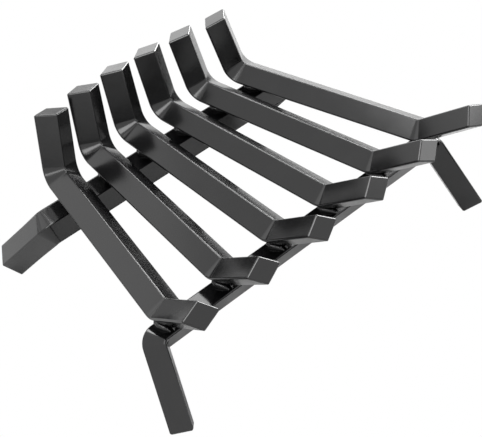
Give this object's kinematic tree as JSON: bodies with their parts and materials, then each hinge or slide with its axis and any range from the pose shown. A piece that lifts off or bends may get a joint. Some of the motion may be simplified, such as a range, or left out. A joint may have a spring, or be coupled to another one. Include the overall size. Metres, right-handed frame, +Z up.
{
  "type": "log grate",
  "caption": "Fireplace log grate: fanned bars of bent steel with raised front tips and rear uprights, welded across a front and a rear leg bar with splayed legs.",
  "frame": {"origin": "on the hearth, under the middle of the grate's width and depth", "axes": "+Z up; +X to the right along the leg bars, seen from the front; +Y from the wide front with its low tips to the narrow rear with its uprights"},
  "size_m": [0.5124, 0.3627, 0.1925],
  "materials": {
    "bar_paint": "smooth semi-gloss black paint on steel bar",
    "weld_paint": "semi-gloss black paint over weld beads"
  },
  "bodies": {
    "root": {"log_bar_1": "bar_paint", "log_bar_2": "bar_paint", "log_bar_3": "bar_paint", "log_bar_4": "bar_paint", "log_bar_5": "bar_paint", "log_bar_6": "bar_paint", "front_leg_bar": "bar_paint", "rear_leg_bar": "bar_paint", "front_weld_1": "weld_paint", "front_weld_2": "weld_paint", "front_weld_3": "weld_paint", "front_weld_4": "weld_paint", "front_weld_5": "weld_paint", "front_weld_6": "weld_paint", "rear_weld_1": "weld_paint", "rear_weld_2": "weld_paint", "rear_weld_3": "weld_paint", "rear_weld_4": "weld_paint", "rear_weld_5": "weld_paint", "rear_weld_6": "weld_paint"}
  },
  "joints": []
}
